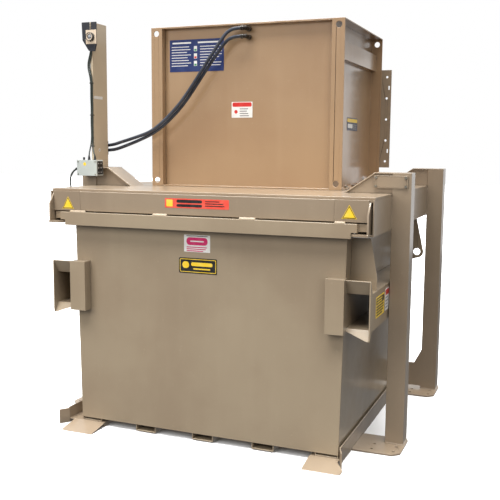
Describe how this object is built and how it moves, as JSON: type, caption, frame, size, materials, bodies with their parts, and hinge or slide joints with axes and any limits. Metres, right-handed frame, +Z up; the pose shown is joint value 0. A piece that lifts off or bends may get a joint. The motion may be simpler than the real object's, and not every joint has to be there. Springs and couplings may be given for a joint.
{
  "type": "vertical trash compactor",
  "caption": "Vertical hydraulic refuse compactor: a ram housing on a legged frame over a removable fork-lifted container.",
  "frame": {"origin": "floor level, at the centre of the machine's footprint", "axes": "+Z up, front of the container towards -Y, +X to the right seen from the front"},
  "size_m": [2.5584, 2.042, 2.822],
  "materials": {
    "frame_paint": "gloss",
    "container_paint": "gloss",
    "housing_paint": "gloss",
    "ram_paint": "satin",
    "worn_steel": "satin",
    "cylinder_paint": "satin",
    "chrome_rod": "polished",
    "zinc_steel": "satin",
    "hose_rubber": "matt",
    "cable_sheath": "matt",
    "box_grey": "satin",
    "black_plastic": "satin",
    "lens": "gloss"
  },
  "bodies": {
    "frame": {"front_beam": "frame_paint", "rear_beam": "frame_paint", "deck_plate": "frame_paint", "throat_frame": "frame_paint", "side_channel_left": "frame_paint", "side_channel_right": "frame_paint", "floor_guide_left": "frame_paint", "floor_guide_right": "frame_paint", "entry_ramp_left": "frame_paint", "entry_ramp_right": "frame_paint", "housing_side_left": "housing_paint", "housing_side_right": "housing_paint", "mounting_strip_left": "housing_paint", "mounting_strip_right": "housing_paint", "cylinder_barrel_left": "cylinder_paint", "cylinder_barrel_right": "cylinder_paint", "leg_front_right": "frame_paint", "leg_front_left": "frame_paint", "leg_rear_right": "frame_paint", "leg_rear_left": "frame_paint", "foot_plate_front_right": "frame_paint", "foot_plate_front_left": "frame_paint", "foot_plate_rear_right": "frame_paint", "foot_plate_rear_left": "frame_paint", "leg_cover": "frame_paint", "leg_cover_bolts": "zinc_steel", "housing_front": "housing_paint", "housing_rear": "housing_paint", "housing_top": "housing_paint", "housing_bolts": "zinc_steel", "head_beams": "frame_paint", "hose_elbows": "zinc_steel", "hose_bulkhead": "zinc_steel", "control_mast": "frame_paint", "sensor_shield": "black_plastic", "sensor_plate": "frame_paint", "sensor_lens": "lens", "junction_box": "box_grey", "junction_box_lid": "box_grey", "junction_box_bracket": "black_plastic", "cable_glands": "black_plastic", "hose_upper": "hose_rubber", "hose_lower": "hose_rubber", "mast_cable_left": "cable_sheath", "mast_cable_right": "cable_sheath", "box_lead": "cable_sheath"},
    "ram": {"ram_platen": "ram_paint", "cylinder_rod_left": "chrome_rod", "cylinder_rod_right": "chrome_rod"},
    "container": {"container_shell": "container_paint", "container_rim": "container_paint", "container_skids": "container_paint", "fork_pocket_left": "container_paint", "fork_pocket_right": "container_paint", "container_ear_left": "container_paint", "container_ear_right": "container_paint"},
    "stage_one_left": {"cylinder_stage_one_left": "chrome_rod"},
    "stage_one_right": {"cylinder_stage_one_right": "chrome_rod"},
    "stage_two_left": {"cylinder_stage_two_left": "chrome_rod"},
    "stage_two_right": {"cylinder_stage_two_right": "chrome_rod"}
  },
  "joints": [
    {"name": "ram_slide", "type": "slide", "parent": "frame", "child": "ram", "axis": [0, 0, -1], "range_m": [0, 0.9]},
    {"name": "container_slide", "type": "slide", "parent": "frame", "child": "container", "axis": [0, -1, 0], "range_m": [0, 1.95]},
    {"name": "stage_one_left_slide", "type": "slide", "parent": "frame", "child": "stage_one_left", "axis": [0, 0, -1], "range_m": [0, 0.3]},
    {"name": "stage_one_right_slide", "type": "slide", "parent": "frame", "child": "stage_one_right", "axis": [0, 0, -1], "range_m": [0, 0.3]},
    {"name": "stage_two_left_slide", "type": "slide", "parent": "frame", "child": "stage_two_left", "axis": [0, 0, -1], "range_m": [0, 0.6]},
    {"name": "stage_two_right_slide", "type": "slide", "parent": "frame", "child": "stage_two_right", "axis": [0, 0, -1], "range_m": [0, 0.6]}
  ],
  "couplings": [
    {"joint": "stage_one_left_slide", "follows": "ram_slide", "ratio": 0.33333},
    {"joint": "stage_one_right_slide", "follows": "ram_slide", "ratio": 0.33333},
    {"joint": "stage_two_left_slide", "follows": "ram_slide", "ratio": 0.66667},
    {"joint": "stage_two_right_slide", "follows": "ram_slide", "ratio": 0.66667}
  ]
}
